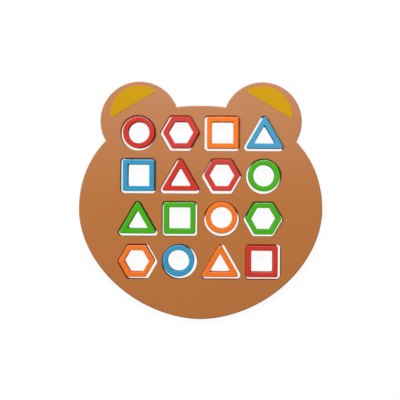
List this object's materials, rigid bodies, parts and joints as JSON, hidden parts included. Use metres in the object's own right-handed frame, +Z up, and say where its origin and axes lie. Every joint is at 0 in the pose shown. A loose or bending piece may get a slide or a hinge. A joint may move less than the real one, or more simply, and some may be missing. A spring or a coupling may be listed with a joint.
{
  "type": "shape matching toy",
  "caption": "Flat bear-head board with through-cut sockets, each holding a loose coloured ring, round, square, triangular or hexagonal, to be lifted out and matched by shape and colour.",
  "frame": {"origin": "on the surface that the board lies on, under the middle of the board's outline", "axes": "+X across the board to the right ear, +Y from the chin to the ears, +Z up out of the face"},
  "size_m": [0.2468, 0.2404, 0.01],
  "materials": {
    "brown_paint": "satin paint on wood",
    "gold_film": "printed film, satin",
    "red_paint": "satin paint on wood",
    "orange_paint": "satin paint on wood",
    "blue_paint": "satin paint on wood",
    "green_paint": "satin paint on wood"
  },
  "bodies": {
    "board": {"bear_board": "brown_paint", "ear_patch_left": "gold_film", "ear_patch_right": "gold_film"},
    "red_circle": {"red_circle_ring": "red_paint"},
    "red_hexagon_upper": {"red_hexagon_ring_upper": "red_paint"},
    "orange_square": {"orange_square_ring": "orange_paint"},
    "blue_triangle": {"blue_triangle_ring": "blue_paint"},
    "blue_square": {"blue_square_ring": "blue_paint"},
    "red_triangle": {"red_triangle_ring": "red_paint"},
    "red_hexagon_lower": {"red_hexagon_ring_lower": "red_paint"},
    "green_circle": {"green_circle_ring": "green_paint"},
    "green_triangle": {"green_triangle_ring": "green_paint"},
    "green_square": {"green_square_ring": "green_paint"},
    "orange_circle": {"orange_circle_ring": "orange_paint"},
    "green_hexagon": {"green_hexagon_ring": "green_paint"},
    "orange_hexagon": {"orange_hexagon_ring": "orange_paint"},
    "blue_circle": {"blue_circle_ring": "blue_paint"},
    "orange_triangle": {"orange_triangle_ring": "orange_paint"},
    "red_square": {"red_square_ring": "red_paint"}
  },
  "joints": [
    {"name": "red_circle_lift", "type": "slide", "parent": "board", "child": "red_circle", "axis": [0, 0, 1], "range_m": [0, 0.04]},
    {"name": "red_hexagon_upper_lift", "type": "slide", "parent": "board", "child": "red_hexagon_upper", "axis": [0, 0, 1], "range_m": [0, 0.04]},
    {"name": "orange_square_lift", "type": "slide", "parent": "board", "child": "orange_square", "axis": [0, 0, 1], "range_m": [0, 0.04]},
    {"name": "blue_triangle_lift", "type": "slide", "parent": "board", "child": "blue_triangle", "axis": [0, 0, 1], "range_m": [0, 0.04]},
    {"name": "blue_square_lift", "type": "slide", "parent": "board", "child": "blue_square", "axis": [0, 0, 1], "range_m": [0, 0.04]},
    {"name": "red_triangle_lift", "type": "slide", "parent": "board", "child": "red_triangle", "axis": [0, 0, 1], "range_m": [0, 0.04]},
    {"name": "red_hexagon_lower_lift", "type": "slide", "parent": "board", "child": "red_hexagon_lower", "axis": [0, 0, 1], "range_m": [0, 0.04]},
    {"name": "green_circle_lift", "type": "slide", "parent": "board", "child": "green_circle", "axis": [0, 0, 1], "range_m": [0, 0.04]},
    {"name": "green_triangle_lift", "type": "slide", "parent": "board", "child": "green_triangle", "axis": [0, 0, 1], "range_m": [0, 0.04]},
    {"name": "green_square_lift", "type": "slide", "parent": "board", "child": "green_square", "axis": [0, 0, 1], "range_m": [0, 0.04]},
    {"name": "orange_circle_lift", "type": "slide", "parent": "board", "child": "orange_circle", "axis": [0, 0, 1], "range_m": [0, 0.04]},
    {"name": "green_hexagon_lift", "type": "slide", "parent": "board", "child": "green_hexagon", "axis": [0, 0, 1], "range_m": [0, 0.04]},
    {"name": "orange_hexagon_lift", "type": "slide", "parent": "board", "child": "orange_hexagon", "axis": [0, 0, 1], "range_m": [0, 0.04]},
    {"name": "blue_circle_lift", "type": "slide", "parent": "board", "child": "blue_circle", "axis": [0, 0, 1], "range_m": [0, 0.04]},
    {"name": "orange_triangle_lift", "type": "slide", "parent": "board", "child": "orange_triangle", "axis": [0, 0, 1], "range_m": [0, 0.04]},
    {"name": "red_square_lift", "type": "slide", "parent": "board", "child": "red_square", "axis": [0, 0, 1], "range_m": [0, 0.04]}
  ]
}
